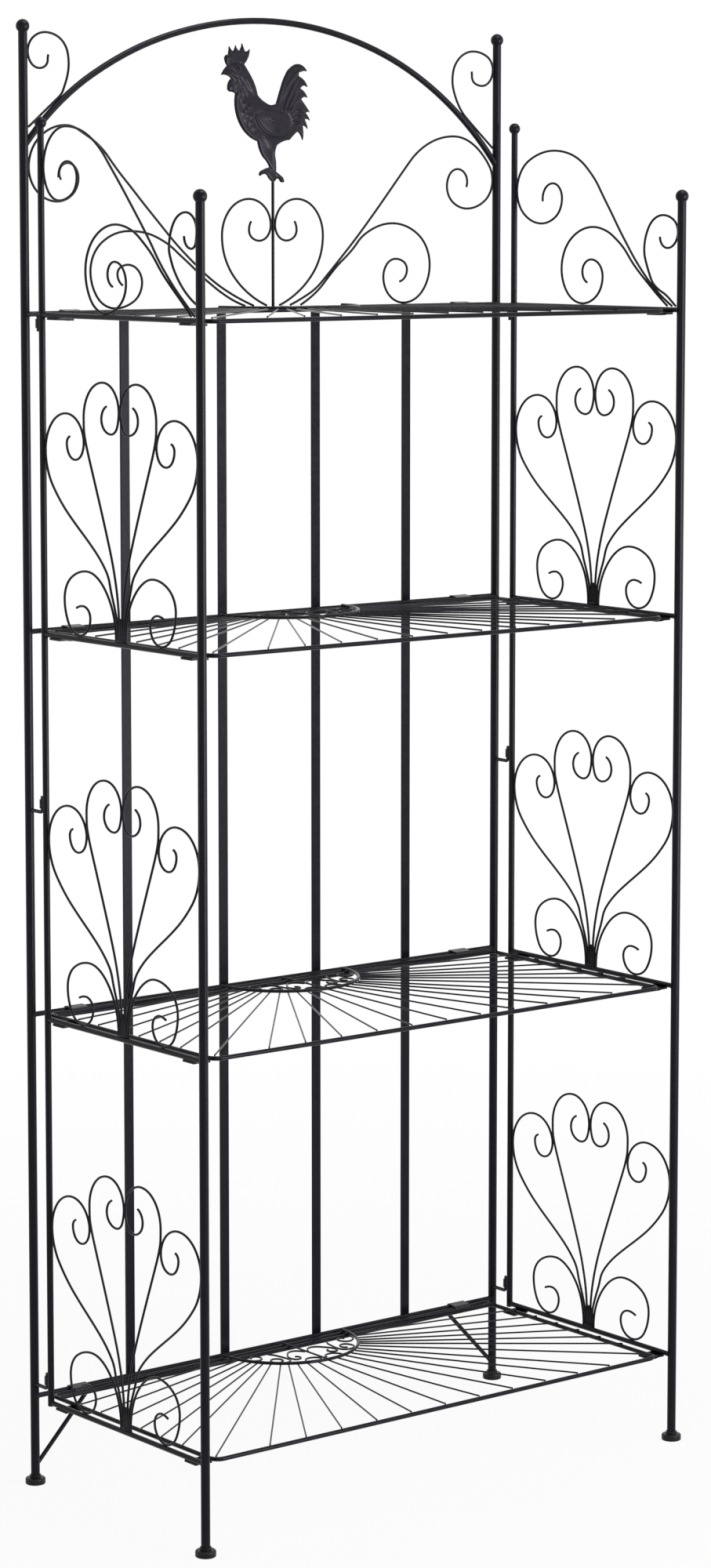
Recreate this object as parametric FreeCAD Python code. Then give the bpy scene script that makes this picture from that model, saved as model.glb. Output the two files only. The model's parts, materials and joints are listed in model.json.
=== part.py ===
import FreeCAD, Part

import math
import os

# Folding bakers rack: a welded back frame, two scrollwork side frames that swing on loose-pin
# hinges, and four wire shelves that lift about the back rails. Millimetres, +X to the right,
# +Y to the back, +Z up, with the origin on the floor under the middle of the rack.

V = FreeCAD.Vector

# ---------------------------------------------------------------- driving dimensions
# Posts, stiles and rails
frame_width = 743.0
frame_depth = 356.0
post_diameter = 11.0
post_wall = 1.2
stile_diameter = 8.0
stile_setback = 36.0
rail_diameter = 6.4
bottom_rail_height = 111.0
lower_bay = 480.0
middle_bay = 472.0
upper_bay = 384.0
stile_overhang = 4.0

# Arch over the back: its lower end above the top rail, and its top above that end
crown_space = 179.0
arch_rise = 179.0
arch_peak_offset = -11.3
arch_diameter = 8.0

# Ball finials: the rear balls above the arch's lower end, the others above the top rail
rear_ball_rise = 164.0
stile_ball_rise = 228.0
front_ball_rise = 141.0
post_ball_diameter = 16.5
stile_ball_diameter = 14.5
spigot_length = 12.0
spigot_fit = 0.1
stile_socket_depth = 5.0

# Rubber feet
foot_diameter = 25.0
foot_height = 8.0
foot_floor = 2.5
foot_collar_wall = 1.3
foot_collar_height = 3.5
foot_edge_radius = 1.2

# Scrollwork
scroll_wire_diameter = 2.9
bundle_pitch = 3.3
bundle_stub_height = 28.0
outer_straight_share = 0.4
inner_straight_share = 0.5
low_straight_share = 0.1
fan_height_share = 0.788
fan_narrow_curl = 0.95
crown_scroll_share = 1.192
side_scroll_height = 218.3
corner_scroll_width = 66.0
corner_scroll_height = 89.5
corner_tail_rise = 10.5
stem_diameter = 3.8
stem_offset = 3.4
bird_headroom = 24.0

# Weathervane bird
bird_plate = 5.0
bird_height = 170.6
bird_relief = 8.0
bird_feather_rib = 1.6

# Flat bars and corner braces of the back
bar_width = 12.5
bar_thickness = 3.0
bar_count = 4
brace_diameter = 5.5
brace_reach = 86.0
brace_drop = 89.4

# Shelves
shelf_rod_diameter = 5.4
shelf_rod_drop = 1.0
shelf_side_gap = 20.0
shelf_hinge_setback = 10.5
shelf_cross_rod_spacing = 12.0
shelf_front_inset = 7.0
shelf_front_corner = 13.0
shelf_rear_corner = 8.0
ray_diameter = 2.1
front_rays_per_side = 5
front_ray_end_gap = 1.25
side_rays = 7
side_ray_lead = 0.46
ring_radius = 97.0
ring_offset = 8.5
ring_diameter = 4.2
ring_scroll_diameter = 2.4

# Shelf rests under the side rails
rest_length = 22.0
rest_thickness = 2.5
rest_rear_setback = 60.0
rest_front_inset = 28.0
rest_overlap = 5.0
rest_outer_share = 0.6
rest_joggle_start = 0.35
rest_joggle_end = 0.55

# Hinges
pin_diameter = 4.6
pin_bend_radius = 4.6
pin_rise = 20.0
sleeve_outer_diameter = 7.5
sleeve_length = 11.0
bottom_pin_height = 127.0
middle_pin_height = 845.0
clip_width = 25.0
clip_thickness = 1.5
clip_inset = 63.5

# Fits and clearances
weld_gap = 0.05
moving_gap = 0.3
hinge_fit = 0.05
clip_grip = 0.05
clip_fit = 0.08

# ---------------------------------------------------------------- derived places
half_width = frame_width / 2
rear_y = frame_depth / 2
front_y = -frame_depth / 2
stile_y = rear_y - stile_setback
second_rail_height = bottom_rail_height + lower_bay
third_rail_height = second_rail_height + middle_bay
top_rail_height = third_rail_height + upper_bay
rail_heights = (bottom_rail_height, second_rail_height, third_rail_height, top_rail_height)
arch_spring_height = top_rail_height + crown_space
arch_top_height = arch_spring_height + arch_rise
rear_ball_height = arch_spring_height + rear_ball_rise
stile_ball_height = top_rail_height + stile_ball_rise
front_ball_height = top_rail_height + front_ball_rise
fan_height = fan_height_share * upper_bay
crown_scroll_height = crown_scroll_share * crown_space

post_radius = post_diameter / 2
stile_radius = stile_diameter / 2
rail_radius = rail_diameter / 2
arch_tube_radius = arch_diameter / 2
wire_radius = scroll_wire_diameter / 2
weld_pitch = scroll_wire_diameter + 2 * weld_gap

# A scroll wire touches a post, a stile or a rail when its axis is this far from theirs.
post_contact = post_radius + wire_radius + weld_gap
stile_contact = stile_radius + wire_radius + weld_gap
rail_contact = rail_radius + wire_radius + weld_gap

pin_setback = stile_setback - stile_radius - sleeve_outer_diameter / 2
stem_foot_height = top_rail_height + rail_radius + weld_gap
stem_top_height = arch_top_height - arch_tube_radius - bird_headroom - bird_height
shelf_half_width = half_width - shelf_side_gap
shelf_front_setback = frame_depth - shelf_front_inset


# ---------------------------------------------------------------- planes of the flat work
def back_plane(u, v):
    """A point of the back frame: u to the right of the middle, v above the floor."""
    return V(u, rear_y, v)


def side_plane(side):
    """Points of one side frame: s forward of the rear post's axis, v above the floor."""
    def place(s, v):
        return V(side * half_width, rear_y - s, v)
    return place


def level_plane(height):
    """Points at one height: u to the right of the middle, s forward of the rear posts."""
    def place(u, s):
        return V(u, rear_y - s, height)
    return place


def mirrored(plane):
    """The same plane with its first coordinate turned round."""
    def place(u, v):
        return plane(-u, v)
    return place


def stem_plane(u, v):
    """The back plane with u counted from the stem, which stands a little right of the middle."""
    return back_plane(u + stem_offset, v)


# ---------------------------------------------------------------- paths of tangent arcs
def direction(degrees):
    angle = math.radians(degrees)
    return V(math.cos(angle), math.sin(angle), 0)


def turned(heading, angle):
    return V(
        heading.x * math.cos(angle) - heading.y * math.sin(angle),
        heading.x * math.sin(angle) + heading.y * math.cos(angle),
        0,
    )


def circle_heading(before, at, after):
    """Heading at the middle point of the circle through three points."""
    first = at - before
    second = after - at
    heading = first / first.dot(first) + second / second.dot(second)
    return heading.normalize()


def end_heading(end, next_one, heading_there):
    """Heading at a free end, so that one arc leads from it to the next point."""
    chord = (next_one - end).normalize()
    return chord * (2 * chord.dot(heading_there)) - heading_there


def key_headings(keys):
    """A heading for each key: its own third value, or that of the circle through its neighbours."""
    points = [V(key[0], key[1], 0) for key in keys]
    found = [direction(key[2]) if len(key) == 3 else None for key in keys]
    for i in range(1, len(keys) - 1):
        if found[i] is None:
            found[i] = circle_heading(points[i - 1], points[i], points[i + 1])
    if found[0] is None:
        found[0] = end_heading(points[0], points[1], found[1])
    if found[-1] is None:
        found[-1] = end_heading(points[-1], points[-2], -found[-2]) * -1
    return points, found


def biarc_joint(start, leaving, end, arriving):
    """Where two tangent arcs meet on the way from one key to the next."""
    chord = end - start
    closing = 2 * (1 - leaving.dot(arriving))
    if closing < 1e-9:
        reach = chord.dot(chord) / (4 * chord.dot(arriving))
    else:
        along = chord.dot(leaving + arriving)
        reach = (math.sqrt(along * along + closing * chord.dot(chord)) - along) / closing
    return (start + end + (leaving - arriving) * reach) / 2


def arc_piece(start, heading, end):
    """The arc that leaves start along heading and ends at end, with its heading there."""
    chord = end - start
    left = V(-heading.y, heading.x, 0)
    half_turn = math.atan2(chord.dot(left), chord.dot(heading))
    if abs(half_turn) < 1e-4:
        return (start, None, end), heading
    across = V(-chord.y, chord.x, 0)
    middle = (start + end) / 2 - across * (math.tan(half_turn / 2) / 2)
    return (start, middle, end), turned(heading, 2 * half_turn)


def arc_edges(keys, plane):
    """Edges of the smooth path through the keys, two tangent arcs between each pair."""
    points, headings = key_headings(keys)
    pieces = []
    for i in range(len(points) - 1):
        joint = biarc_joint(points[i], headings[i], points[i + 1], headings[i + 1])
        piece, heading = arc_piece(points[i], headings[i], joint)
        pieces.append(piece)
        pieces.append(arc_piece(joint, heading, points[i + 1])[0])
    edges = []
    for start, middle, end in pieces:
        first = plane(start.x, start.y)
        last = plane(end.x, end.y)
        if middle is None:
            edges.append(Part.LineSegment(first, last).toShape())
        else:
            edges.append(Part.Arc(first, plane(middle.x, middle.y), last).toShape())
    return edges


def swept(edges, diameter):
    """A round rod along a path of edges."""
    start = edges[0].valueAt(edges[0].FirstParameter)
    heading = edges[0].tangentAt(edges[0].FirstParameter)
    disc = Part.Face(Part.Wire([Part.makeCircle(diameter / 2, start, heading)]))
    return Part.Wire(edges).makePipe(disc)


def scroll(keys, plane, diameter=scroll_wire_diameter):
    return swept(arc_edges(keys, plane), diameter)


def in_cell(keys, width, height, u_start=0.0, v_start=0.0):
    """Keys given as fractions of a cell, at the cell's real size and place."""
    placed = []
    for key in keys:
        at = (u_start + key[0] * width, v_start + key[1] * height)
        placed.append(at + tuple(key[2:]))
    return placed


def beside(key, distance, turn_back=False):
    """The key of a wire lying to the right of this one, going the same way or back."""
    heading = math.radians(key[2])
    u = key[0] + distance * math.sin(heading)
    v = key[1] - distance * math.cos(heading)
    return (u, v, key[2] + 180 if turn_back else key[2])


# ---------------------------------------------------------------- rods, tubes and joints
def rod(start, end, diameter):
    return Part.makeCylinder(diameter / 2, (end - start).Length, start, end - start)


def coped(start, end, diameter, ends):
    """A rod between two crossing members, its ends shaped to them with a weld gap.
    Each of the ends is (point on the member's axis, axis direction, member's radius)."""
    shape = rod(start, end, diameter)
    for point, axis, radius in ends:
        length = 6 * (radius + diameter)
        unit = V(axis).normalize()
        member = Part.makeCylinder(radius + weld_gap, length, point - unit * (length / 2), unit)
        shape = shape.cut(member)
    return max(shape.Solids, key=lambda solid: solid.Volume)


def post_tube(x, y, top):
    outer = Part.makeCylinder(post_radius, top - foot_floor - weld_gap, V(x, y, foot_floor + weld_gap))
    inner = Part.makeCylinder(post_radius - post_wall, top, V(x, y, 0))
    return outer.cut(inner)


def tube_end_below_ball(ball_diameter, tube_diameter):
    """How far below the ball's centre a tube's rim meets the ball."""
    return math.sqrt((ball_diameter / 2) ** 2 - (tube_diameter / 2) ** 2)


def revolved(outline, x, y):
    """A turned piece from an outline of edges in the XZ plane, on the vertical axis at x, y."""
    face = Part.Face(Part.Wire(outline))
    shape = face.revolve(V(0, 0, 0), V(0, 0, 1), 360)
    shape.translate(V(x, y, 0))
    return shape


def polyline(points):
    return [
        Part.LineSegment(V(*points[i]), V(*points[i + 1])).toShape()
        for i in range(len(points) - 1)
    ]


def post_finial(x, y, centre_height):
    """A ball on a spigot that fills the mouth of the post tube."""
    radius = post_ball_diameter / 2
    seat = centre_height - tube_end_below_ball(post_ball_diameter, post_diameter)
    spigot = post_radius - post_wall - spigot_fit
    seat_radius = math.sqrt(radius**2 - (centre_height - seat) ** 2)
    ball = Part.Arc(
        V(seat_radius, 0, seat), V(radius, 0, centre_height), V(0, 0, centre_height + radius)
    ).toShape()
    rest = polyline([
        (0, 0, centre_height + radius),
        (0, 0, seat - spigot_length),
        (spigot, 0, seat - spigot_length),
        (spigot, 0, seat),
        (seat_radius, 0, seat),
    ])
    return revolved([ball] + rest, x, y)


def stile_finial(x, y, centre_height):
    """A smaller ball, drilled from below to sit on the end of the stile."""
    radius = stile_ball_diameter / 2
    bore = stile_radius + spigot_fit
    mouth = centre_height - math.sqrt(radius**2 - bore**2)
    ball = Part.Arc(
        V(bore, 0, mouth), V(radius, 0, centre_height), V(0, 0, centre_height + radius)
    ).toShape()
    rest = polyline([
        (0, 0, centre_height + radius),
        (0, 0, mouth + stile_socket_depth),
        (bore, 0, mouth + stile_socket_depth),
        (bore, 0, mouth),
    ])
    return revolved([ball] + rest, x, y)


def stile_top():
    mouth = stile_ball_height - math.sqrt((stile_ball_diameter / 2) ** 2 - stile_radius**2)
    return mouth + stile_socket_depth - spigot_fit


def foot(x, y):
    """A rubber cup with a rounded rim and a collar round the tube."""
    outer = foot_diameter / 2
    edge = foot_edge_radius
    bevel = edge * (1 - math.sqrt(0.5))
    collar = post_radius + weld_gap + foot_collar_wall
    bore = post_radius + weld_gap
    top = foot_height + foot_collar_height
    outline = polyline([
        (0, 0, foot_floor), (0, 0, 0), (outer - edge, 0, 0),
    ])
    outline.append(Part.Arc(V(outer - edge, 0, 0), V(outer - bevel, 0, bevel), V(outer, 0, edge)).toShape())
    outline += polyline([(outer, 0, edge), (outer, 0, foot_height - 2 * edge)])
    shoulder = V(outer - 2 * edge, 0, foot_height)
    outline.append(Part.Arc(
        V(outer, 0, foot_height - 2 * edge),
        V(outer - 2 * bevel, 0, foot_height - 2 * bevel),
        shoulder,
    ).toShape())
    outline += polyline([
        (shoulder.x, 0, foot_height),
        (collar, 0, foot_height),
        (collar, 0, top),
        (bore, 0, top),
        (bore, 0, foot_floor),
        (0, 0, foot_floor),
    ])
    return revolved(outline, x, y)


# ---------------------------------------------------------------- back frame
def back_rails():
    rails = []
    for height in rail_heights:
        ends = [(back_plane(side * half_width, height), V(0, 0, 1), post_radius) for side in (-1, 1)]
        rails.append(coped(back_plane(-half_width, height), back_plane(half_width, height),
                           rail_diameter, ends))
    return rails


def back_bars():
    """Flat bars standing behind the rails, one wide bay apart."""
    bars = []
    bay = frame_width / (bar_count + 1)
    bottom = bottom_rail_height - rail_radius
    height = top_rail_height + rail_radius - bottom
    for i in range(bar_count):
        x = (i + 1) * bay - half_width
        corner = V(x - bar_width / 2, rear_y + rail_radius + weld_gap, bottom)
        bars.append(Part.makeBox(bar_width, bar_thickness, height, corner))
    return bars


def corner_brace(side):
    """A short diagonal rod from the bottom rail down to the post."""
    top = back_plane(side * (half_width - brace_reach), bottom_rail_height)
    bottom = back_plane(side * half_width, bottom_rail_height - brace_drop)
    ends = [(top, V(1, 0, 0), rail_radius), (bottom, V(0, 0, 1), post_radius)]
    return coped(top, bottom, brace_diameter, ends)


def arch_keys(side):
    """The arch from its peak down to one rear post, with u outwards from the middle. The two
    halves are bent a little differently: the left one starts higher on its post."""
    if side > 0:
        shares = ((0.3, 0.916), (0.6, 0.686), (0.85, 0.331), (0.97, 0.078), (1.0, 0.0))
    else:
        shares = ((0.3, 0.944), (0.6, 0.746), (0.85, 0.431), (0.97, 0.190), (1.0, 0.116))
    peak = (side * arch_peak_offset, arch_top_height, 0)
    return [peak] + in_cell(shares, half_width, arch_rise, 0, arch_spring_height)


def arch():
    left = [(-key[0], key[1]) for key in reversed(arch_keys(-1)[1:])]
    shape = swept(arc_edges(left + arch_keys(1), back_plane), arch_diameter)
    for side in (-1, 1):
        post = Part.makeCylinder(post_radius + weld_gap, rear_ball_height, V(side * half_width, rear_y, 0))
        shape = shape.cut(post)
    return max(shape.Solids, key=lambda solid: solid.Volume)


def corner_scroll_keys(side):
    """A wire that runs up from the post, lies on the arch and curls back to the post above it."""
    contact = half_width - post_contact
    points, headings = key_headings(arch_keys(side))
    touch, outer = points[-3], points[-2]
    heading = math.degrees(math.atan2(headings[-3].y, headings[-3].x))
    above = arch_tube_radius + wire_radius + weld_gap
    tail = (contact, outer.y + corner_tail_rise)
    lying = beside((touch.x, touch.y, heading), -above, turn_back=True)
    if side > 0:
        curl = (
            (0.942, 0.312), (1.036, 0.574, 90), (0.967, 0.801), (0.5, 1.0, 0), (0.0, 0.737, 270),
            (0.285, 0.507, 180), (0.538, 0.640, 90), (0.545, 0.712),
        )
    else:
        curl = (
            (0.824, 0.231), (0.898, 0.494, 90), (0.786, 0.768), (0.383, 0.897, 0), (0.0, 0.637, 270),
            (0.256, 0.419, 180), (0.436, 0.530, 90), (0.450, 0.601),
        )
    return [tail, lying] + in_cell(curl, -corner_scroll_width, corner_scroll_height, contact, touch.y)


crown_width = half_width - post_contact
crown_base = top_rail_height + rail_contact


def crown_keys(fractions):
    return in_cell(fractions, crown_width, crown_scroll_height, 0, crown_base)


def crown_scroll_keys(side):
    """The long S from beside the stem to the post, curling back under itself."""
    if side > 0:
        return crown_keys((
            (0.084, 0.0), (0.169, 0.067, 28), (0.274, 0.218, 44), (0.412, 0.456, 47),
            (0.617, 0.845, 48), (0.818, 1.0, 0), (0.945, 0.905), (1.0, 0.735, 270), (0.881, 0.564, 180),
            (0.788, 0.700, 90), (0.837, 0.803, 0), (0.878, 0.695),
        ))
    return crown_keys((
        (0.075, 0.0), (0.123, 0.033), (0.223, 0.121), (0.352, 0.288), (0.518, 0.564),
        (0.611, 0.730), (0.757, 0.972), (0.852, 1.038, 0), (1.0, 0.800, 270),
        (0.888, 0.609, 180), (0.802, 0.742, 90), (0.845, 0.826, 0), (0.872, 0.733),
    ))


def crown_lower_keys(side):
    """A C that runs under the long S, welded to it on the right, then curls down to the rail."""
    if side > 0:
        start = crown_keys(((0.130, 0.0), (0.184, 0.055)))
        beneath = [beside(crown_scroll_keys(side)[2], weld_pitch)]
        curl = crown_keys((
            (0.352, 0.312), (0.412, 0.410, 33), (0.538, 0.477, 0), (0.709, 0.226, 270),
            (0.590, 0.0, 180), (0.498, 0.156, 90), (0.553, 0.264, 0), (0.605, 0.198, 270),
            (0.572, 0.128),
        ))
        return start + beneath + curl
    return crown_keys((
        (0.112, 0.0), (0.149, 0.023), (0.216, 0.083), (0.262, 0.135), (0.374, 0.284),
        (0.443, 0.370), (0.522, 0.426), (0.600, 0.440, 0), (0.756, 0.212, 270), (0.655, 0.0, 180),
        (0.545, 0.146, 90), (0.604, 0.248, 0), (0.646, 0.195, 270), (0.625, 0.131),
    ))


def heart_keys():
    """The C beside the stem: two of them make a heart under the bird."""
    stem_contact = stem_diameter / 2 + wire_radius + weld_gap
    out = crown_keys((
        (0.028, 0.0), (0.104, 0.070), (0.150, 0.1365), (0.1895, 0.2235), (0.2125, 0.32),
        (0.2185, 0.410, 90), (0.103, 0.623, 180),
    ))
    touch = [(stem_contact, crown_base + 0.470 * crown_scroll_height, 270)]
    back = crown_keys(((0.059, 0.379, 0), (0.103, 0.442, 90), (0.094, 0.492)))
    return out + touch + back


def rooster_stem():
    return rod(stem_plane(0, stem_foot_height), stem_plane(0, stem_top_height), stem_diameter)


# Outline of the bird, in millimetres right of the stem and above its top. Each stroke is one
# smooth stretch between two corners of the silhouette.
bird_strokes = (
    ((2.0, 0.0), (-2.0, 0.0)),
    ((-2.0, 0.0), (-6.3, 3.8), (-8.7, 7.4)),
    ((-8.7, 7.4), (-13.5, 9.2), (-19.7, 6.8)),
    ((-19.7, 6.8), (-21.6, 8.4), (-20.3, 11.6), (-14.2, 15.0), (-5.2, 17.6)),
    ((-5.2, 17.6), (-8.4, 23.0), (-17.2, 32.5), (-21.6, 41.0), (-23.8, 49.5)),
    ((-23.8, 49.5), (-43.6, 60.8), (-54.8, 77.0), (-59.3, 98.5), (-58.3, 108.0)),
    ((-58.3, 108.0), (-61.0, 109.6), (-64.4, 110.4)),
    ((-64.4, 110.4), (-69.4, 112.0), (-70.2, 118.0), (-64.8, 126.8)),
    ((-64.8, 126.8), (-71.0, 130.4), (-80.1, 130.8)),
    ((-80.1, 130.8), (-77.0, 136.0), (-70.8, 142.5)),
    ((-70.8, 142.5), (-74.3, 148.4), (-74.6, 153.0), (-69.2, 156.2)),
    ((-69.2, 156.2), (-68.3, 161.0), (-67.8, 166.5)),
    ((-67.8, 166.5), (-65.4, 162.8), (-62.3, 160.6), (-59.6, 163.0), (-57.9, 168.0)),
    ((-57.9, 168.0), (-55.8, 163.4), (-52.6, 161.4), (-49.6, 164.4), (-48.0, 170.6)),
    ((-48.0, 170.6), (-45.6, 164.4), (-43.4, 160.4)),
    ((-43.4, 160.4), (-39.4, 161.0), (-36.2, 163.2)),
    ((-36.2, 163.2), (-38.4, 153.5), (-45.0, 144.6)),
    ((-45.0, 144.6), (-37.2, 134.5), (-29.4, 122.2), (-24.1, 107.3)),
    ((-24.1, 107.3), (-14.2, 99.2), (-0.8, 95.0), (5.7, 97.2)),
    ((5.7, 97.2), (11.3, 113.0), (17.4, 128.0), (26.3, 140.7), (39.8, 146.6), (48.7, 143.6),
     (54.0, 137.6)),
    ((54.0, 137.6), (46.3, 137.4), (40.8, 134.4), (42.0, 130.8)),
    ((42.0, 130.8), (48.8, 127.0), (54.6, 118.0)),
    ((54.6, 118.0), (47.6, 119.4), (43.2, 116.0)),
    ((43.2, 116.0), (49.8, 112.0), (54.5, 104.6)),
    ((54.5, 104.6), (48.6, 105.4), (44.7, 102.6)),
    ((44.7, 102.6), (51.6, 95.0), (58.4, 86.4)),
    ((58.4, 86.4), (54.6, 87.0), (51.8, 85.6)),
    ((51.8, 85.6), (55.6, 81.4), (58.4, 76.2)),
    ((58.4, 76.2), (54.0, 78.2), (50.2, 77.4)),
    ((50.2, 77.4), (53.0, 72.0), (54.9, 65.8)),
    ((54.9, 65.8), (50.6, 69.2), (46.7, 69.4)),
    ((46.7, 69.4), (47.9, 61.0), (46.9, 51.6)),
    ((46.9, 51.6), (43.6, 58.6), (38.9, 62.6)),
    ((38.9, 62.6), (33.4, 58.4), (26.2, 51.8)),
    ((26.2, 51.8), (15.2, 49.6), (6.4, 45.2)),
    ((6.4, 45.2), (3.2, 36.0), (4.5, 24.0), (4.7, 12.0)),
    ((4.7, 12.0), (10.4, 8.6), (16.6, 2.8), (16.9, -0.6), (13.8, -1.2), (8.8, 3.0), (5.6, 3.6)),
    ((5.6, 3.6), (4.0, 1.4), (2.0, 0.0)),
)
bird_wing = (
    ((-27.0, 76.0), (-24.6, 82.6), (-17.0, 85.6), (4.0, 85.2), (20.0, 80.0), (27.6, 68.0)),
    ((27.6, 68.0), (25.6, 60.4), (17.0, 56.4), (-2.0, 55.6), (-17.0, 62.4), (-27.0, 76.0)),
)
bird_feathers = (
    ((16.0, 104.0), (21.0, 121.0), (31.0, 134.6)),
    ((23.0, 100.0), (29.0, 114.0), (38.6, 126.6)),
    ((28.0, 94.0), (34.0, 103.0), (41.2, 111.6)),
    ((30.0, 86.0), (36.6, 92.0), (44.0, 97.4)),
    ((31.0, 78.0), (38.0, 81.0), (46.6, 82.4)),
    ((-52.0, 126.0), (-49.0, 116.0), (-48.0, 106.0)),
    ((-46.0, 127.0), (-41.8, 118.0), (-39.6, 108.0)),
    ((-40.4, 128.0), (-35.4, 119.0), (-32.0, 108.0)),
)
bird_eye = (-56.0, 138.4)
bird_eye_radius = 2.4
bird_eye_wall = 1.0


def bird_place(u, v):
    return stem_plane(u, stem_top_height + weld_gap + v)


def stroke_edges(stroke):
    if len(stroke) == 2:
        return [Part.LineSegment(bird_place(*stroke[0]), bird_place(*stroke[1])).toShape()]
    return arc_edges(stroke, bird_place)


def slab(edges, thickness):
    """A closed outline in the back plane, thickened evenly to the front and the back."""
    face = Part.Face(Part.Wire(edges))
    face.translate(V(0, -thickness / 2, 0))
    return face.extrude(V(0, thickness, 0))


def bird():
    plate = slab([edge for stroke in bird_strokes for edge in stroke_edges(stroke)], bird_plate)
    plate = plate.fuse(slab([edge for stroke in bird_wing for edge in stroke_edges(stroke)], bird_relief))
    for points in bird_feathers:
        for side in (-1, 1):
            rib = swept(arc_edges(points, bird_place), bird_feather_rib)
            rib.translate(V(0, side * bird_plate / 2, 0))
            plate = plate.fuse(rib)
    eye = bird_place(*bird_eye)
    relief_front = V(eye.x, eye.y - bird_relief / 2, eye.z)
    ring = Part.makeCylinder(bird_eye_radius, bird_relief, relief_front, V(0, 1, 0))
    hollow = Part.makeCylinder(bird_eye_radius - bird_eye_wall, bird_relief, relief_front, V(0, 1, 0))
    plate_core = Part.makeCylinder(
        bird_eye_radius, bird_plate, V(eye.x, eye.y - bird_plate / 2, eye.z), V(0, 1, 0))
    return plate.fuse(ring.cut(hollow)).fuse(plate_core)


# ---------------------------------------------------------------- hinges
def pin_arm(side, height, up):
    """An L of round rod welded to the rear post: the arm, a bend and the upright pin."""
    turn = 1 if up else -1
    plane = side_plane(side)
    bend_start = plane(pin_setback - pin_bend_radius, height)
    bend_middle = plane(
        pin_setback - pin_bend_radius * (1 - math.sqrt(0.5)),
        height + turn * pin_bend_radius * (1 - math.sqrt(0.5)),
    )
    bend_end = plane(pin_setback, height + turn * pin_bend_radius)
    edges = [
        Part.LineSegment(plane(0, height), bend_start).toShape(),
        Part.Arc(bend_start, bend_middle, bend_end).toShape(),
        Part.LineSegment(bend_end, plane(pin_setback, height + turn * pin_rise)).toShape(),
    ]
    post = Part.makeCylinder(post_radius + weld_gap, rear_ball_height, V(side * half_width, rear_y, 0))
    return max(swept(edges, pin_diameter).cut(post).Solids, key=lambda solid: solid.Volume)


pin_places = ((bottom_pin_height, True), (middle_pin_height, True), (top_rail_height, False))


def hinge_sleeve(side, height, up):
    """A short tube on the back of the stile that turns on the pin."""
    offset = pin_bend_radius + moving_gap
    bottom = height + offset if up else height - offset - sleeve_length
    at = side_plane(side)(pin_setback, bottom)
    outer = Part.makeCylinder(sleeve_outer_diameter / 2 - weld_gap, sleeve_length, at)
    bore = Part.makeCylinder(pin_diameter / 2 + hinge_fit, sleeve_length, at)
    return outer.cut(bore)


def hinge_clip(x, height):
    """A strap bent round the back rail and, with a running fit, round the shelf's rear rod."""
    rail_axis = V(x - clip_width / 2, rear_y, height)
    rod_axis = V(x - clip_width / 2, rear_y - shelf_hinge_setback, height - shelf_rod_drop)
    rail_bore = rail_radius + clip_grip
    rod_bore = shelf_rod_diameter / 2 + clip_fit
    rail_eye = rail_bore + clip_thickness
    rod_eye = rod_bore + clip_thickness
    between = rod_axis - rail_axis
    slope = math.atan2(between.z, between.y)
    tilt = math.acos((rail_eye - rod_eye) / between.Length)

    def on_eye(axis, radius, angle):
        return V(axis.x, axis.y + radius * math.cos(angle), axis.z + radius * math.sin(angle))

    upper = slope - tilt
    lower = slope + tilt
    outline = [
        Part.LineSegment(on_eye(rail_axis, rail_eye, upper), on_eye(rod_axis, rod_eye, upper)).toShape(),
        Part.Arc(on_eye(rod_axis, rod_eye, upper), on_eye(rod_axis, rod_eye, slope),
                 on_eye(rod_axis, rod_eye, lower)).toShape(),
        Part.LineSegment(on_eye(rod_axis, rod_eye, lower), on_eye(rail_axis, rail_eye, lower)).toShape(),
        Part.Arc(on_eye(rail_axis, rail_eye, lower), on_eye(rail_axis, rail_eye, slope + math.pi),
                 on_eye(rail_axis, rail_eye, upper)).toShape(),
    ]
    strap = Part.Face(Part.Wire(outline)).extrude(V(clip_width, 0, 0))
    along = V(1, 0, 0)
    strap = strap.cut(Part.makeCylinder(rail_bore, clip_width, rail_axis, along))
    return strap.cut(Part.makeCylinder(rod_bore, clip_width, rod_axis, along))


# ---------------------------------------------------------------- side frames
fan_half_width = (frame_depth - post_contact - stile_setback - stile_contact) / 2
fan_centre = stile_setback + stile_contact + fan_half_width


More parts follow.
